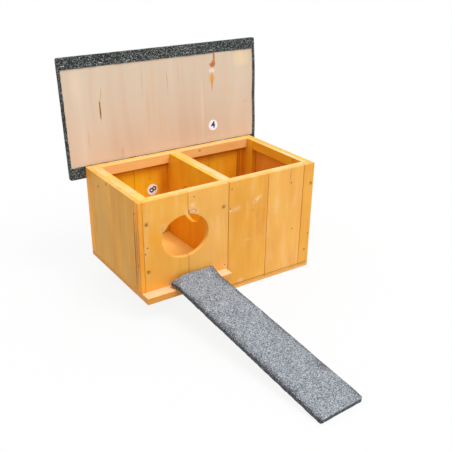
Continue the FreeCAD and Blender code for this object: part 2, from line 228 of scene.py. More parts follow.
def glazed_pine(name, light, dark, thin, facing=Y, marks=(), knots=()):
    """Planed pine under a brushed glaze: soft rings, fine fibres and cloudy patches where the glaze is thin.
    The grain attribute holds metres along the board and then across it from the pith. The look attribute
    says how dark the board is, how thin its glaze is, and how much its top is painted paler as painted
    light. The marks show on the side that looks to the left, to the front or up."""
    material, tree, shader = blank(name)
    place = add(tree, "TexCoord", out="Object")
    grain = add(tree, "Attribute", out="Vector", attribute_name="grain")
    look = add(tree, "Attribute", out="Vector", attribute_name="look")
    look = add(tree, "SeparateXYZ", (look,)).node.outputs
    cloud = {}      # by name: metres long, metres wide and detail
    for pattern, long, wide, detail in (
            ("sway", 0.4, 0.06, 2), ("streak", 0.33, 0.0105, 3), ("fibre", 0.04, FIBRE, 2),
            ("blotch", 0.17, 0.067, 2), ("wash", 0.11, 0.033, 3)):
        stretched = add(tree, "VectorMath", (grain, (1 / long, 1 / wide, 1 / wide)), operation="MULTIPLY")
        cloud[pattern] = add(tree, "TexNoise", {"Vector": stretched, "Scale": 1, "Detail": detail})

    late, rim, heart, halo = growth_rings(tree, place, grain, cloud["sway"], facing, knots)
    # What all the patterns darken on the whole is taken off again.
    amount = look["X"]
    for pattern, weight in (
            (late, 0.12), (cloud["streak"], 0.22), (cloud["blotch"], 1.04), (cloud["fibre"], 0.1)):
        amount = add(tree, "Math", (pattern, weight, amount), operation="MULTIPLY_ADD")
    amount = add(tree, "Math", (amount, 0.40), operation="SUBTRACT", use_clamp=True)
    colour = add(tree, "Mix", {SHARE: amount, UNDER: linear(light), OVER: linear(dark)}, **BLEND)

    # The glaze is thin in washes and round the knots, where the bare wood shows through.
    bare = add(tree, "MapRange", (cloud["wash"], 0.5, 0.72, 0, 0.26), **SMOOTH)
    bare = add(tree, "Math", (bare, look["Y"]), operation="ADD")
    bare = add(tree, "Math", (halo, 0.35, bare), operation="MULTIPLY_ADD", use_clamp=True)
    colour = add(tree, "Mix", {SHARE: bare, UNDER: colour, OVER: linear(thin)}, **BLEND)

    stained = stain(tree, colour, place, facing, marks)
    normal = add(tree, "SeparateXYZ", (add(tree, "NewGeometry", out="Normal"),)).node.outputs
    marked = add(tree, "Math", (normal[facing], (-1, -1, 1)[facing]), operation="MULTIPLY")
    marked = add(tree, "MapRange", (marked, 0.6, 0.95), **SMOOTH)
    colour = add(tree, "Mix", {SHARE: marked, UNDER: colour, OVER: stained}, **BLEND)
    if knots:
        for pattern, depth, code in ((heart, 0.75, "E2AE7E"), (rim, 0.55, "8A5428")):
            share = add(tree, "Math", (pattern, depth), operation="MULTIPLY")
            colour = add(tree, "Mix", {SHARE: share, UNDER: colour, OVER: linear(code)}, **BLEND)

    # Tops are painted paler, peach and in places cream, in mottled patches: painted light for the bright
    # tops.
    upward = add(tree, "MapRange", (normal["Z"], 0.6, 0.95), **SMOOTH)
    top_light = add(tree, "Math", (look["Z"], upward), operation="MULTIPLY")
    for pattern, start, end, least, code in (
            ("blotch", 0.38, 0.62, 0.3, "E8A65C"), ("wash", 0.36, 0.66, 0.15, "EDC497")):
        share = add(tree, "MapRange", (cloud[pattern], start, end, least, 1.2), **SMOOTH)
        share = add(tree, "Math", (share, top_light), operation="MULTIPLY", use_clamp=True)
        colour = add(tree, "Mix", {SHARE: share, UNDER: colour, OVER: linear(code)}, **BLEND)

    hard = add(tree, "Math", (late, -0.3), operation="MULTIPLY")
    grooves = add(tree, "Math", (cloud["fibre"], 0.5, hard), operation="MULTIPLY_ADD")
    bump = add(tree, "Bump", {"Height": grooves, "Strength": 0.5, "Distance": 0.0002})
    sheen = add(tree, "MapRange", (cloud["streak"], 0.2, 0.8, 0.45, 0.6))
    fill(tree, shader, {"Base Color": colour, "Normal": bump, "Roughness": sheen, "Specular IOR Level": 0.2})
    return material


def node_copy(node):
    """Copy of a CAD node with its doubled corners merged."""
    bm = bmesh.new()
    bm.from_mesh(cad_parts[node].data)
    bmesh.ops.remove_doubles(bm, verts=bm.verts, dist=SAME)
    return bm


def join_flat(bm):
    """Makes one face of each flat side."""
    bmesh.ops.dissolve_limit(bm, angle_limit=FLAT, verts=bm.verts, edges=bm.edges)


dice = random.Random(4)


def board(node, along, look, trims, material, ease=0.0009):
    """Board with eased arrises in place of a CAD node, its grain along one axis and its edges trimmed."""
    low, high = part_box(node)
    bm = node_copy(node)
    for axis, side, gap in trims:
        edge = (low, high)[side][axis]
        for vert in bm.verts:
            if abs(vert.co[axis] - edge) < NEAR:
                vert.co[axis] += gap if side == LOW else -gap
    join_flat(bm)
    inner = [edge for edge in bm.edges if len(edge.link_faces) == 2]
    sharp = [edge for edge in inner if edge.calc_face_angle(0) > math.radians(40)]
    bmesh.ops.bevel(bm, geom=sharp, offset=ease, segments=2, **ROUND)
    mesh = mesh_of(node + "_board", bm)

    # Each board comes from another part of the log, with the pith 20 to 70 mm behind one of its faces.
    size = high - low
    axes = [along] + sorted([axis for axis in range(3) if axis != along], key=lambda axis: -size[axis])
    middle = (low + high) / 2
    start = dice.uniform(0, 5)
    across = dice.uniform(-0.9, 0.9) * size[axes[1]] / 2
    behind = dice.choice((-1, 1)) * dice.uniform(0.02, 0.07)
    places = []
    for vert in mesh.vertices:
        offset = vert.co - middle
        places += (offset[axes[0]] + start, offset[axes[1]] + across, offset[axes[2]] + behind)
    for name, values in (("grain", places), ("look", list(look) * len(mesh.vertices))):
        mesh.attributes.new(name, "FLOAT_VECTOR", "POINT").data.foreach_set("vector", values)
    mesh.materials.append(material)
    piece = placed(node + "_board", mesh)
    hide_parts(node)
    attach(piece, "house")


# Knots: middle and half sizes in mm, and tilt in degrees. Marks: the same, then softness, shade and strength.
FRONT_KNOTS = [(-132.5, 290.5, 12.5, 6.5, 0), (-227.2, 264.8, 4.2, 5.5, 0), (-227.2, 257.5, 4.2, 4.5, 0),
               (80, 272.5, 3.6, 4, 20)]
FRONT_MARKS = [
    (-134, 309, 10, 8, 0, 0.9, "F2CDA4", 0.6), (-145.4, 291, 1.6, 8, 0, 0.2, "744420", 0.9),
    (-227.3, 248.5, 3, 3, 0, 0.2, "6E4420", 0.85), (90, 280, 16, 7, -35, 1.0, "F3D4A8", 0.6),
    (-7, 262.5, 4, 4, 0, 0.5, "F0DABC", 0.6), (12, 264, 20, 9, -6, 1.0, "F0C79C", 0.4),
    (56, 156, 15, 4, 0, 1.0, "F2CC92", 0.35), (35, 24, 14, 8, 0, 1.0, "F2D2A2", 0.45),
    # Painted shade: the darker orange mark 202 mm left and 100 mm up, round the top of the ramp's left edge.
    (72.6, 246.8, 3.2, 3.2, 0, 0.4, "D27E22", 0.7), (-202, 100, 55, 24, 0, 1.0, "E08A1C", 0.45),
    (115, 220, 9, 150, 0, 1.0, "D98A26", 0.45), (-246, 236, 26, 42, 0, 1.0, "EE9C1C", 0.45),
    (-215, 285, 26, 12, 0, 1.0, "E98F2C", 0.3), (160, 245, 14, 40, 0, 1.0, "F0C490", 0.4),
    (-49, 213, 20, 50, 0, 1.0, "F0BE74", 0.45), (50, 200, 32, 60, 0, 1.0, "E69A2A", 0.4),
    (208.5, 324, 1, 24, 3, 0.3, "93602A", 0.8), (213, 302, 3.5, 5, 0, 0.6, "B4803E", 0.6),
    (-106, 120, 40, 30, 0, 1.0, "EDAE52", 0.4), (198, 90, 12, 80, 0, 1.0, "EFB566", 0.4),
    (-277, 284.5, 7.5, 7.5, 0, 0.5, "A0692C", 0.45), (-276.6, 142, 7.5, 7.5, 0, 0.5, "A0692C", 0.45),
    (-30.5, 280.8, 9, 9, 0, 0.6, "BC8C54", 0.6), (289.9, 286.6, 7.5, 7.5, 0, 0.5, "A0692C", 0.45),
    (282.8, 62.5, 6, 6, 0, 0.6, "A87434", 0.5), (130, 16, 400, 1.8, 0, 0.3, "8A5A28", 0.7),
]
front_pine = glazed_pine(
    "planed_pine_honey_glaze_front", "EBAE48", "D18424", "EFC184", Y, FRONT_MARKS, FRONT_KNOTS)
SEAM = (Z, LOW, 0.0011)     # open joint at the foot of a board
board("front_board_a", Z, (0.02, 0.05, 0.2), [(X, LOW, 0.0008), (X, HIGH, 0.0010)], front_pine)
board("front_board_b", Z, (-0.02, 0.18, 0.2), [(X, HIGH, 0.0017), SEAM], front_pine)
board("front_board_c", Z, (0.05, 0.02, 0.2), [(X, HIGH, 0.0012), SEAM], front_pine)
board("front_board_d", Z, (-0.01, 0.16, 0.2), [(X, HIGH, 0.0017), SEAM], front_pine)
board("front_board_e", Z, (0.05, 0.03, 0.2), [SEAM], front_pine)

# Back, left and right walls
# The same boards, upright too. The side walls lap over the ends of the front wall, and the left one has a
# narrow board at each corner, where the joint has opened and the corner board has split along its length.
CORNER_MARKS = [
    (-142.8, 196, 3.2, 125, 0, 0.4, "5A3616", 0.85), (-149, 180, 6, 130, 0, 0.6, "C88A42", 0.6),
    (-153, 190, 2.4, 130, 0, 0.4, "84501E", 0.75), (-163.8, 215, 2.6, 160, 0, 0.4, "94602A", 0.6),
    (-145, 312, 2.6, 3.5, 0, 0.2, "4C3A24", 0.9), (-158.7, 163, 3, 6, 0, 0.5, "8A5A26", 0.7),
]
LEFT_MARKS = [
    (-139.5, 190, 1.2, 112, 0, 0.3, "6A4018", 0.8), (82.8, 316, 8, 6, 0, 0.6, "A87838", 0.6),
    (25.2, 341.5, 6, 5, 0, 0.6, "A0743A", 0.6), (-15, 200, 10, 170, 0, 1.0, "D08A34", 0.55),
    (62, 215, 44, 130, 0, 1.0, "C99C54", 0.5), (-80, 200, 36, 130, 0, 1.0, "C4933F", 0.4),
    (20, 120, 10, 60, 0, 1.0, "D3A662", 0.4), (-100, 115, 16, 50, 0, 1.0, "D0A05A", 0.4),
    (96, 250, 6, 120, 0, 1.0, "D4A868", 0.4), (121, 215, 4, 150, 0, 0.8, "B87C38", 0.45),
    (0, 62.5, 300, 2.6, 0, 0.4, "8A6428", 0.5),
]
# Painted light: this copy of the glaze is brighter and more saturated, for the light inside the house.
back_pine = glazed_pine("planed_pine_honey_glaze_back", "F4B824", "DE860E", "EEAE36", Y, [
    # Painted shade: the first mark, a dark line along the wall just under the back rail.
    (0, 311, 500, 4.5, 0, 0.5, "A8440E", 0.45), (-92.2, 273.6, 3.5, 3.5, 0, 0.4, "A8702E", 0.7),
    (-255, 230, 30, 90, 0, 1.0, "F6B010", 0.5), (-140, 240, 60, 110, 0, 1.0, "F8C214", 0.65),
    # Painted shade: the deep orange mark 45 mm left of the middle, in the corner by the dividing wall.
    (-45, 240, 20, 90, 0, 1.0, "D8700E", 0.55), (-118, 250, 5, 90, 0, 1.0, "F6B850", 0.5),
    (178, 230, 12, 90, 0, 1.0, "F4B444", 0.5), (215, 240, 20, 90, 0, 1.0, "EE9A1C", 0.4),
    # Painted shade: the marks from 243 to 263 mm, dark lines and darker strips beside the back right post.
    (249, 230, 8, 110, 0, 0.6, "C8661A", 0.6),
    (243.5, 230, 1.6, 110, 0, 0.3, "7A3A0C", 0.9), (252.5, 230, 1.2, 110, 0, 0.3, "8E4A12", 0.8),
    (263, 230, 6, 110, 0, 0.6, "E07C14", 0.6),
])
left_pine = glazed_pine("planed_pine_honey_glaze_left", "E6AA46", "C07C20", "D9A75A", X, LEFT_MARKS)
corner_pine = glazed_pine("planed_pine_honey_glaze_corner", "F2A636", "D07A1C", "EFB062", X, CORNER_MARKS)
right_pine = glazed_pine("planed_pine_honey_glaze_right", "F4B040", "DC8420", "F0B868", X, [
    (40, 200, 20, 160, 0, 1.0, "E8962C", 0.4), (-90, 220, 16, 130, 0, 1.0, "F2C280", 0.4)])
for letter, darker in zip("abcd", (0.1, 0.0, 0.06, 0.0)):
    gap = [(X, HIGH, 0.0008)] if letter != "d" else []
    board("back_board_" + letter, Z, (darker, 0, 0.3), gap, back_pine)
board("left_board_a", Z, (0.0, 0.0, 0.3), [(Y, HIGH, 0.0020), SEAM], corner_pine)
board("left_board_b", Z, (0.0, 0.0, 0.3), [(Y, HIGH, 0.0006), SEAM], left_pine)
board("left_board_c", Z, (0.03, 0.0, 0.3), [(Y, HIGH, 0.0012), SEAM], left_pine)
board("left_board_d", Z, (-0.1, 0.1, 0.3), [SEAM], corner_pine)
for letter, darker in zip("abc", (0.0, 0.06, 0.02)):
    gap = [(Y, HIGH, 0.0006), (X, LOW, 0.0008), SEAM] if letter != "c" else [(X, LOW, 0.0008), SEAM]
    board("right_board_" + letter, Z, (darker, 0, 0.15), gap, right_pine)

# Posts, rails and dividing wall
# Sawn battens of the same pine, glued and screwed inside the boards. The rails make a broad rim that the
# lid lies on, painted paler on top as painted light, and the dividing wall is two boards on a pair of posts.
# Painted light: this copy of the glaze is brighter and more saturated, for the light inside the house.
inner_pine = glazed_pine("planed_pine_honey_glaze_inside", "FCC22C", "E68C10", "F4BC4A")
rail_pine = glazed_pine("planed_pine_honey_glaze_rail", "F9C06A", "EA9E46", "F6CC98", Y, [
    (83.1, 339.8, 5, 4, 0, 0.4, "A8682A", 0.7), (-235, 335, 50, 12, 0, 1.0, "F9B47C", 0.6),
    (-130, 335, 20, 10, 0, 1.0, "FAC088", 0.4), (-40, 330, 14, 8, 0, 1.0, "E8963C", 0.4),
    (210, 335, 40, 10, 0, 1.0, "ECA048", 0.5)])
ENDS = 0.0006       # open joint at each end of a rail
for name in ("front_left_post", "back_left_post", "front_right_post", "back_right_post"):
    board(name, Z, (-0.05, 0.05, 0.5), [(Y, LOW, 0.0008), (Y, HIGH, 0.0008)], inner_pine)
board("back_rail", X, (-0.1, 0.2, 0.35), [(X, LOW, ENDS), (X, HIGH, ENDS)], rail_pine)
board("front_rail", X, (-0.1, 0.2, 0.6), [(X, LOW, ENDS), (X, HIGH, ENDS)], inner_pine)
for name in ("left_rail", "right_rail", "divider_rail"):
    board(name, Y, (0.0, 0.05, 0.7), [(Y, LOW, ENDS), (Y, HIGH, ENDS)], inner_pine)
for name in ("divider_post_front", "divider_post_back", "divider_board_front", "divider_board_back"):
    board(name, Z, (0.03, 0, 0.2), [(Y, HIGH, 0.0013)], inner_pine)

# Floors and landing ledge
# Thicker planks with the grain along the front. The ledge sticks out under the entrance as a threshold, and
# its top is painted pale where the ramp doesn't cover it: painted light for its bright top.
# Painted light: the floors' copy of the glaze is brighter, for the light inside. Its mark darkens left faces.
floor_pine = glazed_pine("planed_pine_honey_glaze_floor", "FFD45C", "F6AC3C", "FFD890", X, [
    (0, 67, 600, 90, 0, 0.3, "CE8630", 0.9)])
# Painted light: the two pale marks on the ledge's top stand for the bright light on it.
ledge_pine = glazed_pine("planed_pine_honey_glaze_ledge", "E4A04A", "C8802E", "EEB878", Z, [
    (-40, -185, 60, 90, 0, 0.6, "F7C296", 1.0), (-250, -190, 120, 90, 0, 1.0, "F7C298", 0.9)])
board("base_board", X, (-0.25, 0.3, 0), [], ledge_pine)
board("step_board", Y, (0.05, 0, 0), [], floor_pine)
board("left_floor", X, (-0.1, 0.3, 0), [], floor_pine)
board("ledge", X, (0.1, 0.0, 0.0), [], ledge_pine, ease=0.0015)

# Lid panel
# Plywood 9 mm thick with a rotary-cut face veneer, left bare. The veneer has a soft upright figure, a few
# resin streaks that have bled through, one narrow split with an ochre edge and a let-in veneer patch.
PORE = 0.0024       # pores of the veneer, under 1 mm on the real one and drawn as coarse as they need to show
DASH = 0.111        # length of a row of pores up the panel
BAND = 0.03846      # soft bands of the figure, 38 mm wide
WANDER = 0.25       # over which the figure wanders sideways
PLY_MARKS = [
    (168.9, 620, 4, 17, 0, 0.4, "B56C3C", 0.95), (166, 601, 7.5, 11, 0, 0.4, "BE7038", 0.9),
    (162, 595, 11, 9.5, 0, 0.4, "B4683A", 0.95), (159.5, 577, 11, 8, 0, 0.6, "F2E0CA", 0.9),
    (159.2, 548, 4.5, 34, 0, 0.4, "CE8E4C", 0.85), (159.6, 554, 10.5, 16, 0, 0.5, "DC9A3C", 0.85),
    (158, 540, 3.6, 8, 0, 0.5, "C98440", 0.8), (-232.3, 507.4, 5.2, 35, 0, 0.6, "CDA05C", 0.75),
    (-232.3, 506, 1.9, 30, 0, 0.3, "5E3A1C", 1.0), (-226.5, 550, 1.3, 26, 8, 0.6, "B98A5C", 0.7),
    (262, 603, 22, 25, 0, 0.3, "E2CCA0", 0.5), (284, 605, 22, 25, 0, 0.3, "E2CCA0", 0.5),
    (-90, 568, 1.6, 52, 2, 0.8, "BE9064", 0.6),
    (-54, 560, 5, 90, 0, 1.0, "D8B28A", 0.6), (-3.8, 567, 2, 42, 0, 0.8, "C88E58", 0.6),
    (35.8, 577, 1.6, 50, 0, 0.8, "CFA078", 0.6), (287.5, 466, 9, 5, 0, 0.7, "C89A60", 0.4),
    (-277, 425, 4, 30, 0, 1.0, "CF9C78", 0.5), (-171.6, 371, 5, 22, 0, 1.0, "C88F66", 0.5),
    (147.6, 339, 5, 20, 0, 1.0, "CE9670", 0.5), (-76, 485, 7, 70, 0, 1.0, "D6A884", 0.5),
    (-36.8, 449, 5, 60, 0, 1.0, "D9AE88", 0.5), (210, 520, 6, 70, 0, 1.0, "DDB694", 0.5),
    (120, 470, 7, 90, 0, 1.0, "E6CCB0", 0.6), (-300, 590, 22, 60, 0, 1.0, "E2CCB2", 0.5),
]
plywood, tree, shader = blank("rotary_cut_plywood")
place = add(tree, "TexCoord", out="Object")
drift = add(tree, "TexNoise", {"Vector": place, "Scale": 1 / WANDER, "Detail": 1})
drift = add(tree, "CombineXYZ", (add(tree, "Math", (drift, 0.09), operation="MULTIPLY"),))
veneer = add(tree, "VectorMath", (place, drift), operation="ADD")
# The figure runs in soft bands, and the pores in fine dashes up the panel.
broad = add(tree, "VectorMath", (veneer, (1 / BAND, 1, 1 / 0.625)), operation="MULTIPLY")
figure = add(tree, "TexNoise", {"Vector": broad, "Scale": 1, "Detail": 2, "Roughness": 0.5})
narrow = add(tree, "VectorMath", (veneer, (1 / PORE, 1 / 0.0333, 1 / DASH)), operation="MULTIPLY")
pores = add(tree, "TexNoise", {"Vector": narrow, "Scale": 1, "Detail": 2})
share = add(tree, "MapRange", (add(tree, "SeparateXYZ", (place,), "Z"), 0.36, 0.62), **SMOOTH)
colour = add(tree, "Mix", {SHARE: share, UNDER: linear("D6BCA2"), OVER: linear("D0BEA8")}, **BLEND)
for pattern, start, end, from_share, to_share, code in (
        (figure, 0.45, 0.8, 0, 0.26, "CBA080"), (figure, 0.2, 0.45, 0.25, 0, "E2D0B8"),
        (pores, 0.5, 0.75, 0, 0.05, "B98A68")):
    share = add(tree, "MapRange", (pattern, start, end, from_share, to_share), **SMOOTH)
    colour = add(tree, "Mix", {SHARE: share, UNDER: colour, OVER: linear(code)}, **BLEND)
colour = stain(tree, colour, place, Y, PLY_MARKS)
bump = add(tree, "Bump", {"Height": pores, "Strength": 0.35, "Distance": 0.0002})
fill(tree, shader, {"Base Color": colour, "Normal": bump, "Roughness": 0.62, "Specular IOR Level": 0.3})


def dress(node, material):
    """Gives a CAD node its material."""
    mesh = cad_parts[node].data
    mesh.materials.clear()
    mesh.materials.append(material)


dress("lid_panel", plywood)

# Lid felt
# Roofing felt 2 mm thick, faced with crushed slate. One sheet covers the top of the lid and is folded over
# its four edges, where it ends in hems on the underside that were cut by hand and run a little wavy.
CELL = 0.006        # the felt is cut into cells of this size, so that it can wave
LEVEL = 1e-4        # metres above the lowest face of a felt that still count as its underside
SHARP = math.radians(42)
LEAF_HALF = 0.031   # half the width of felt that a hinge leaf presses in
LEAF_DEEP = 0.0010


def own_axes(node, outside):
    """Turn of a flat piece, X along it and Z out of its broad face, and its corners in those axes."""
    bm = node_copy(node)
    join_flat(bm)
    broad = max(bm.faces, key=lambda face: face.calc_area())
    up = broad.normal * math.copysign(1, broad.normal.dot(outside))
    longest = max(broad.edges, key=lambda edge: edge.calc_length())
    along = (longest.verts[1].co - longest.verts[0].co).normalized()
    along *= math.copysign(1, along.x)
    turn = Matrix((along, up.cross(along), up)).transposed()
    flat = [turn.transposed() @ vert.co for vert in bm.verts]
    bm.free()
    low = Vector([min(point[axis] for point in flat) for axis in range(3)])
    high = Vector([max(point[axis] for point in flat) for axis in range(3)])
    return turn.to_4x4(), low, high


def folded_skin(low, high, hems, thickness, corner, bend):
    """Outer skin of felt folded round a board, open below between its left, right, heel and front hems."""
    bm = bmesh.new()
    bmesh.ops.create_cube(bm, size=1)
    bmesh.ops.scale(bm, vec=high - low, verts=bm.verts)
    bmesh.ops.translate(bm, vec=(low + high) / 2, verts=bm.verts)
    upright = [edge for edge in bm.edges if abs(edge.verts[0].co.z - edge.verts[1].co.z) > thickness]
    bmesh.ops.bevel(bm, geom=upright, offset=corner, segments=4, **ROUND)
    rims = [edge for edge in bm.edges if edge.calc_face_angle(0) > 1]
    rims = [edge for edge in rims if any(hems) or edge.verts[0].co.z > low.z + thickness]
    bmesh.ops.bevel(bm, geom=rims, offset=bend, segments=3, **ROUND)
    left, right, heel, front = hems
    inner_low = low + Vector((left, front, 0))
    inner_high = high - Vector((right, heel, 0))
    cuts = [(axis, end[axis]) for axis in (X, Y) for end in (inner_low, inner_high) if any(hems)]
    for axis in (X, Y):
        length = high[axis] - low[axis]
        count = round(length / CELL)
        cuts += [(axis, low[axis] + length * step / count) for step in range(1, count)]
    for axis, where in cuts:
        facing = Vector([1.0 if axis == other else 0.0 for other in range(3)])
        whole = bm.verts[:] + bm.edges[:] + bm.faces[:]
        bmesh.ops.bisect_plane(bm, geom=whole, dist=SAME, plane_co=facing * where, plane_no=facing)
    window = []
    for face in bm.faces:
        middle = face.calc_center_median()
        inside = inner_low.x < middle.x < inner_high.x and inner_low.y < middle.y < inner_high.y
        if inside and middle.z < low.z + LEVEL:
            window.append(face)
    bmesh.ops.delete(bm, geom=window, context="FACES")
    bm.normal_update()
    return bm


def soften(mesh):
    """Smooth shading but for sharp edges."""
    mesh.polygons.foreach_set("use_smooth", [True] * len(mesh.polygons))
    mesh.set_sharp_from_angle(angle=SHARP)


def sway(place):
    """Noise in three directions that is the same each run, which noise_vector isn't."""
    return Vector([noise.noise(place + Vector((31.7, 17.3, 47.9)) * axis) for axis in range(3)])


def felt_sheet(node, axes, hems, thickness, corner, bend, wave, swell, pressed=(), shade_band=0.0, curls=()):
    """Felt in place of a CAD node. Its cut edges wave, its faces swell, hinge leaves press it in, and a curl
    pushes it away round one spot, given by its share of the length and the width, its reach and the push.
    The edge attribute is one on the folds, and near one in a wavy band along the long edges, which is
    painted shade for their rounded shoulders."""
    turn, low, high = axes
    bm = folded_skin(low, high, hems, thickness, corner, bend)
    edge_layer = bm.verts.layers.float.new("edge")
    # A cut edge wavers over 22 and 5 mm, a face swells over 31 mm and the width of the painted shade band
    # over 38 mm.
    for vert in bm.verts:
        vert[edge_layer] = min(1, max(0, (0.85 - abs(vert.normal.z)) / 0.5))
        # Painted shade: a wavy band along the long edges is darkened through the edge attribute.
        if shade_band:
            reach = shade_band * (1 + 1.2 * noise.noise(vert.co * 26))
            inward = min(vert.co.y - low.y, high.y - vert.co.y)
            vert[edge_layer] = max(vert[edge_layer], 0.9 * (1 - inward / max(reach, 0.001)))
        for x, y in pressed:
            if abs(vert.co.x - x) < LEAF_HALF and vert.co.y < y and vert.co.z < low.z + LEAF_DEEP:
                vert.co.z += LEAF_DEEP
        if vert.is_boundary:
            waver = sway(vert.co * 45) + sway(vert.co * 190) * 0.8
            vert.co += Vector([push * size for push, size in zip(waver, wave)])
        else:
            vert.co += vert.normal * noise.noise(vert.co * 32) * swell
    for end, side, reach, push in curls:
        middle = Vector((low.x + (high.x - low.x) * end, low.y + (high.y - low.y) * side, 0))
        for vert in bm.verts:
            near = max(0, 1 - (vert.co.xy - middle.xy).length / reach)
            vert.co += Vector(push) * near * near * (3 - 2 * near)
    bmesh.ops.solidify(bm, geom=bm.faces[:], thickness=thickness)
    bmesh.ops.recalc_face_normals(bm, faces=bm.faces)
    bmesh.ops.transform(bm, matrix=turn, verts=bm.verts)
    mesh = mesh_of(node + "_sheet", bm)
    soften(mesh)
    sheet = placed(node + "_sheet", mesh)
    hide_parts(node)
    return sheet


GRIT = 0.0020       # grains of slate, about 1 mm on the real felt and drawn as coarse as they need to show
WEAR = 0.04545      # patches that lost some of their grit, 45 mm wide


def slate_felt(name, ground, middle, bright, shares, dark_edge_and_shade):
    """Bitumen felt faced with crushed slate: a rough speckle of three greys, darker where it lost grit. The
    edge attribute darkens it on the folds, and as painted shade along the long edges.
    """
    material, tree, shader = blank(name)
    place = add(tree, "TexCoord", out="Object")
    coarse = add(tree, "TexVoronoi", {"Vector": place, "Scale": 1 / GRIT}).node.outputs
    fine = add(tree, "TexVoronoi", {"Vector": place, "Scale": 2.2 / GRIT}, "Color")
    worn = add(tree, "TexNoise", {"Vector": place, "Scale": 1 / WEAR, "Detail": 3})
    # What the finer grains and the wear add on the whole is taken off again.
    chance = add(tree, "SeparateXYZ", (coarse["Color"],))
    for pattern, weight in ((worn, 0.2), (add(tree, "SeparateXYZ", (fine,), "Y"), 0.45)):
        chance = add(tree, "Math", (pattern, weight, chance), operation="MULTIPLY_ADD")
    chance = add(tree, "Math", (chance, 0.325), operation="SUBTRACT")
    lit = add(tree, "MapRange", (chance, shares[0] - 0.2, shares[0] + 0.2), **SMOOTH)
    colour = add(tree, "Mix", {SHARE: lit, UNDER: linear(ground), OVER: linear(middle)}, **BLEND)
    # The edge attribute paints the folds dark, and a band along the long edges dark as painted shade.
    edge = add(tree, "Attribute", out="Fac", attribute_name="edge")
    edge = add(tree, "Math", (edge, dark_edge_and_shade), operation="MULTIPLY", use_clamp=True)
    colour = add(tree, "Mix", {SHARE: edge, UNDER: colour, OVER: linear("1C1E20")}, **BLEND)
    spark = add(tree, "MapRange", (chance, shares[1] - 0.06, shares[1] + 0.06), **SMOOTH)
    spark = add(tree, "Math", (spark, add(tree, "MapRange", (edge, 0, 1, 1, 0.45))), operation="MULTIPLY")
    colour = add(tree, "Mix", {SHARE: spark, UNDER: colour, OVER: linear(bright)}, **BLEND)
    pits = add(tree, "Math", (chance, coarse["Distance"]), operation="SUBTRACT")
    bump = add(tree, "Bump", {"Height": pits, "Strength": 0.6, "Distance": 0.0006})
    fill(tree, shader, {"Base Color": colour, "Normal": bump, "Roughness": 0.85, "Specular IOR Level": 0.3})
    return material


FELT = 0.0019
LID_HEMS = (0.007, 0.010, 0.0368, 0.033)
lid_turn, lid_low, lid_high = own_axes("lid_felt", Vector((0, 1, 0)))
lid_axis_y = lid_high.y - 0.035     # the axis of the hinges lies this far in from the heel
lid_sheet = felt_sheet(
    "lid_felt", (lid_turn, lid_low, lid_high), LID_HEMS, thickness=FELT, corner=0.005, bend=0.0022,
    wave=(0.0009, 0.0012, 0), swell=0.0003, pressed=[(x, lid_axis_y + 0.004) for x in (-0.2, 0.2)],
    curls=[(1, 0.3, 0.16, (0.004, 0, 0)), (1, 0.75, 0.1, (0.003, 0, 0))])
lid_sheet.data.materials.append(slate_felt(
    "slate_faced_felt_black", "1B1F1F", "3C4241", "A4AAA7", shares=(0.5, 0.9), dark_edge_and_shade=0))
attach(lid_sheet, "lid")

# Staples
# Bright zinc-plated wire staples, 11 mm across the crown, shot through the hems into the plywood with a
# hand tacker. Most are along the front edge, and none of them is quite straight.


def bar_mesh(bm, length, width, height):
    """Rounded bar lying along X on the XY plane."""
    start = len(bm.verts)
    made = bmesh.ops.create_cube(bm, size=1)["verts"]
    bmesh.ops.scale(bm, vec=(length, width, height), verts=made)
    bmesh.ops.translate(bm, vec=(0, 0, height / 2), verts=made)
    edges = {edge for vert in made for edge in vert.link_edges}
    bmesh.ops.bevel(bm, geom=list(edges), offset=height * 0.45, segments=2, **ROUND)
    bm.verts.ensure_lookup_table()
    return bm.verts[start:]


def finished(name, bm, material, body, turn=None):
    """Object made of a bmesh, smooth but for its sharp edges, that rides on a body."""
    if turn:
        bmesh.ops.transform(bm, matrix=turn, verts=bm.verts)
    bmesh.ops.recalc_face_normals(bm, faces=bm.faces)
    mesh = mesh_of(name, bm)
    soften(mesh)
    mesh.materials.append(material)
    piece = placed(name, mesh)
    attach(piece, body)


CLOUD = 0.00625     # cloudy patches of the zinc, 6 mm wide


def plated_steel(name, code, roughness):
    """Zinc-plated steel, some of it under glaze: a dull mirror, a little cloudy from its coating."""
    material, tree, shader = blank(name)
    place = add(tree, "TexCoord", out="Object")
    coating = add(tree, "TexNoise", {"Vector": place, "Scale": 1 / CLOUD, "Detail": 3})
    cloudy = add(tree, "MapRange", (coating, 0.3, 0.7, roughness - 0.06, roughness + 0.08), **SMOOTH)
    fill(tree, shader, {"Base Color": linear(code), "Metallic": 1.0, "Roughness": cloudy})
    return material


# Places along the lid and in from its front edge, and slant in degrees
STAPLES = [(-0.334, 0.023, 2), (-0.2195, 0.024, -4), (-0.131, 0.026, 3), (0.0727, 0.0235, 2),
           (0.158, 0.0245, -3)]
over = Matrix.Rotation(math.pi, 4, "X")
bm = bmesh.new()
for x, from_edge, slant in STAPLES:
    crown = bar_mesh(bm, length=0.0112, width=0.0014, height=0.0011)
    spin = Matrix.Rotation(math.radians(slant), 4, "Z")
    where = Matrix.Translation((x, lid_low.y + from_edge, lid_low.z + 0.0003))
    bmesh.ops.transform(bm, matrix=where @ over @ spin, verts=crown)
wire = plated_steel("bright_zinc_plated_wire", "DEE2E2", 0.45)
finished("staples", bm, wire, "lid", lid_turn)

# Screws
# Countersunk wood screws of yellow zinc-plated steel with a cross recess, driven flush, 9 mm across the head
# in front and 7 mm on the left. The glaze has crept round them and left a dark edge.
RECESS_TURN = 1.1   # radians from one cross recess to the next


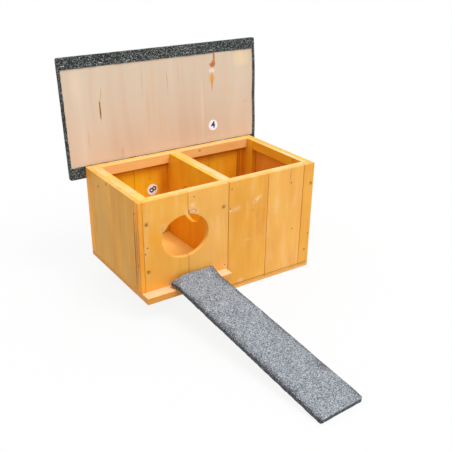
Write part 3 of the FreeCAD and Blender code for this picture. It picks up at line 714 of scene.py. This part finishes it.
def screw_head(bm, radius, rise):
    """Domed head with a cross recess, centred on the origin and facing along Z."""
    made = bmesh.ops.create_circle(bm, cap_ends=True, radius=radius, segments=32)["verts"]
    face = made[0].link_faces[0]
    bmesh.ops.recalc_face_normals(bm, faces=[face])
    if face.normal.z < 0:
        face.normal_flip()
    side = bmesh.ops.extrude_discrete_faces(bm, faces=[face])["faces"][0]
    bmesh.ops.translate(bm, vec=(0, 0, rise * 0.6), verts=side.verts)
    bmesh.ops.inset_region(bm, faces=[side], thickness=radius * 0.1, depth=rise * 0.4)
    bmesh.ops.inset_region(bm, faces=[side], thickness=radius * 0.3, depth=0)
    # The disc left in the middle becomes a cross when its rim is drawn in between four arms.
    for vert in side.verts:
        angle = math.atan2(vert.co.y, vert.co.x) / (math.pi / 2)
        arm = abs(angle - round(angle)) < 0.15
        vert.co.xy *= 1.0 if arm else 0.42
    well = bmesh.ops.extrude_discrete_faces(bm, faces=[side])["faces"][0]
    bmesh.ops.translate(bm, vec=(0, 0, -radius * 0.3), verts=well.verts)
    bmesh.ops.scale(bm, vec=(0.7, 0.7, 1), verts=well.verts)


def turned_to(outward):
    """Turn that points Z in a direction."""
    return Vector((0, 0, 1)).rotation_difference(Vector(outward)).to_matrix().to_4x4()


def heads(name, places, outward, radius, rise, body, material):
    """Group of screw heads on one surface, each turned by its own angle."""
    whole = bmesh.new()
    for count, place in enumerate(places):
        bm = bmesh.new()
        screw_head(bm, radius, rise)
        spin = Matrix.Rotation(count * RECESS_TURN, 4, "Z")
        bmesh.ops.transform(bm, matrix=Matrix.Translation(place) @ turned_to(outward) @ spin, verts=bm.verts)
        one = mesh_of("head", bm)
        whole.from_mesh(one)
        bpy.data.meshes.remove(one)
    finished(name, whole, material, body)


screw_zinc = plated_steel("yellow_zinc_plated_screw", "A68A4E", 0.5)
glazed_steel = plated_steel("glaze_covered_screw", "A87C44", 0.6)
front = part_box("front_board_a")[0].y
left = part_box("left_board_a")[0].x
FRONT_SCREWS = [(-0.2770, 0.2845), (-0.2766, 0.1420), (-0.0305, 0.2808), (0.2899, 0.2866)]
LEFT_SCREWS = [(0.0828, 0.3160), (0.0252, 0.3415)]
heads("front_screws", [(x, front, z) for x, z in FRONT_SCREWS], (0, -1, 0), radius=0.0045, rise=0.0004,
      body="house", material=screw_zinc)
heads("left_screws", [(left, y, z) for y, z in LEFT_SCREWS], (-1, 0, 0), radius=0.0033, rise=0.0003,
      body="house", material=glazed_steel)

# Hinges
# Two small butt hinges of pressed zinc-plated steel. One leaf is let into the back wall and the other is
# screwed to the underside of the lid, three countersunk screws to each leaf.


def leaf_screws(node, outward, body):
    """Three heads sunk flush in the broad face of a hinge leaf that looks one way."""
    bm = node_copy(node)
    join_flat(bm)
    facing = [face for face in bm.faces if face.normal.dot(outward) > 0.9]
    broad = max(facing, key=lambda face: face.calc_area())
    middle, normal = broad.calc_center_bounds(), broad.normal.copy()
    bm.free()
    places = [middle + Vector((x, 0, 0)) for x in (-0.02, 0, 0.02)]
    heads(node + "_screws", places, normal, radius=0.003, rise=0.0001, body=body, material=screw_zinc)


# Painted shade in part: the dull hinge steel is darkened, so that the hinges join the dark line under the
# lid.
hinge_zinc = plated_steel("dull_zinc_hinge_steel_and_painted_shade", "6E7272", 0.5)
for side in ("left", "right"):
    for part in ("wall_leaf", "lid_leaf", "hinge_pin"):
        dress(side + "_" + part, hinge_zinc)
    leaf_screws(side + "_wall_leaf", Vector((0, 1, 0)), "house")
    leaf_screws(side + "_lid_leaf", Vector((0, -1, 0)), "lid")

# Nails
# Small brads that pin the boards to the rails between the screws, with round heads that were punched flush
# and have darkened under the glaze.


def nail_heads(name, places, outward, radius):
    """Group of small round nail heads on one surface."""
    whole = bmesh.new()
    for place in places:
        bmesh.ops.create_cone(whole, cap_ends=True, segments=14, radius1=radius, radius2=radius * 0.7,
                              depth=radius * 0.3, matrix=Matrix.Translation(place) @ turned_to(outward))
    finished(name, whole, nail_steel, "house")


nail_steel = plated_steel("glaze_darkened_steel_nail", "6A5038", 0.55)
FRONT_NAILS = [(-0.2760, 0.2152), (-0.2832, 0.1978), (-0.0239, 0.0940), (-0.1280, 0.3325), (-0.0027, 0.3276),
               (-0.0075, 0.2680), (0.2130, 0.3040), (0.2268, 0.1484), (0.2931, 0.1168), (0.2828, 0.0622)]
RIM_NAILS = [(-0.2798, -0.0937), (-0.0022, 0.1080), (-0.2740, 0.1300), (0.2790, -0.1200)]
rim_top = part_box("front_rail")[1].z
nail_heads("front_nails", [(x, front, z) for x, z in FRONT_NAILS], (0, -1, 0), radius=0.0024)
nail_heads("left_nails", [(left, -0.1454, 0.3135)], (-1, 0, 0), radius=0.0024)
nail_heads("rim_nails", [(x, y, rim_top) for x, y in RIM_NAILS], (0, 0, 1), radius=0.0018)

# Number discs
# Round paper stickers on the inside of the back wall and on the underside of the lid. Each holds a plain
# numeral in blue-black ink that tells the maker which parts go together.
PAPER = 0.0003
INK = 0.00003


def plain(name, code, roughness):
    """Coated paper or printing ink, too smooth for a texture to show: one even colour."""
    material, tree, shader = blank(name)
    fill(tree, shader, {"Base Color": linear(code), "Roughness": roughness})
    return material


def number_disc(name, numeral, place, outward, lean, radius, body):
    """Paper disc with a numeral, its face towards a direction."""
    bm = bmesh.new()
    bmesh.ops.create_cone(bm, cap_ends=True, segments=48, radius1=radius, radius2=radius, depth=PAPER)
    spin = Matrix.Rotation(math.radians(lean), 4, "Z")
    upright = Vector(outward).to_track_quat("Z", "Y").to_matrix().to_4x4()
    turn = Matrix.Translation(place) @ upright @ spin
    finished(name, bm, sticker_paper, body, turn=turn)
    text = bpy.data.curves.new(name + "_ink", "FONT")
    text.body = numeral
    text.size = radius * 1.9
    text.align_x = "CENTER"
    text.align_y = "CENTER"
    text.extrude = INK
    text.offset = radius * 0.035
    holder = placed(name + "_ink_text", text)
    bpy.context.view_layer.update()
    mesh = bpy.data.meshes.new_from_object(holder)
    bpy.data.objects.remove(holder)
    bm = bmesh.new()
    bm.from_mesh(mesh)
    bpy.data.meshes.remove(mesh)
    bmesh.ops.remove_doubles(bm, verts=bm.verts, dist=SAME / 10)
    finished(name + "_ink", bm, ink, body, turn=turn @ Matrix.Translation((0, 0, PAPER / 2 + INK)))


sticker_paper = plain("coated_sticker_paper", "F4F7FC", 0.5)
ink = plain("blue_black_printing_ink", "2E3658", 0.5)
on_wall = (-0.0848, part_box("back_board_b")[0].y - PAPER / 2, 0.2362)
number_disc("wall_number", "8", on_wall, (0, -1, 0), lean=-64, radius=0.0185, body="house")
under_lid = lid_turn @ Vector((0.1583, lid_axis_y - 0.0559, lid_low.z + FELT))
down = lid_turn.to_3x3() @ Vector((0, 0, -1))
number_disc("lid_number", "4", under_lid, down, lean=0, radius=0.0172, body="lid")

# Ramp
# A loose plank 138 mm wide and 12 mm thick, covered on top and over its edges with blue-grey mineral felt
# that gives the ducks a grip. The bare underside and the last 3 mm of its edges show below the felt.
ramp_axes = own_axes("ramp_felt", Vector((0, 0, 1)))
# Painted shade: the felt is darkened in a wavy band about 18 mm wide along the long edges of its top.
ramp_sheet = felt_sheet(
    "ramp_felt", ramp_axes, (0, 0, 0, 0), thickness=0.0029, corner=0.008, bend=0.0025,
    wave=(0.0008, 0.0010, 0.0009), swell=0.0009, shade_band=0.018,
    curls=[(0, 0, 0.034, (-0.001, -0.006, -0.001)), (0, 0.26, 0.045, (0, 0, 0.007)),
           (0, 0.55, 0.065, (0, 0, 0.009)), (0, 1, 0.045, (0, 0, 0.0085))])
ramp_sheet.data.materials.append(slate_felt(
    "slate_faced_felt_blue_grey", "4C5157", "868C93", "B6B9BE", shares=(0.31, 0.88), dark_edge_and_shade=0.8))
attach(ramp_sheet, "ramp")


def sawn_pine(name, light, dark):
    """Bare pine as sawn: pale, with darker rings 4 mm apart and a rough fibre along the plank."""
    material, tree, shader = blank(name)
    turn = ramp_axes[0].to_3x3()
    place = add(tree, "TexCoord", out="Object")
    lengths = []
    for scaled in ((0, 1 / 0.004, 0), (1 / 0.12, 0, 0)):
        scaled = turn @ Vector(scaled)
        lengths.append(add(tree, "VectorMath", (place, scaled), "Value", operation="DOT_PRODUCT"))
    lined = add(tree, "CombineXYZ", lengths)
    figure = add(tree, "TexNoise", {"Vector": lined, "Scale": 1, "Detail": 3})
    share = add(tree, "MapRange", (figure, 0.35, 0.7), **SMOOTH)
    colour = add(tree, "Mix", {SHARE: share, UNDER: linear(light), OVER: linear(dark)}, **BLEND)
    bump = add(tree, "Bump", {"Height": figure, "Strength": 0.4, "Distance": 0.0004})
    fill(tree, shader, {"Base Color": colour, "Normal": bump, "Roughness": 0.75})
    return material


dress("ramp_board", sawn_pine("rough_sawn_pine", "C79C62", "94683A"))
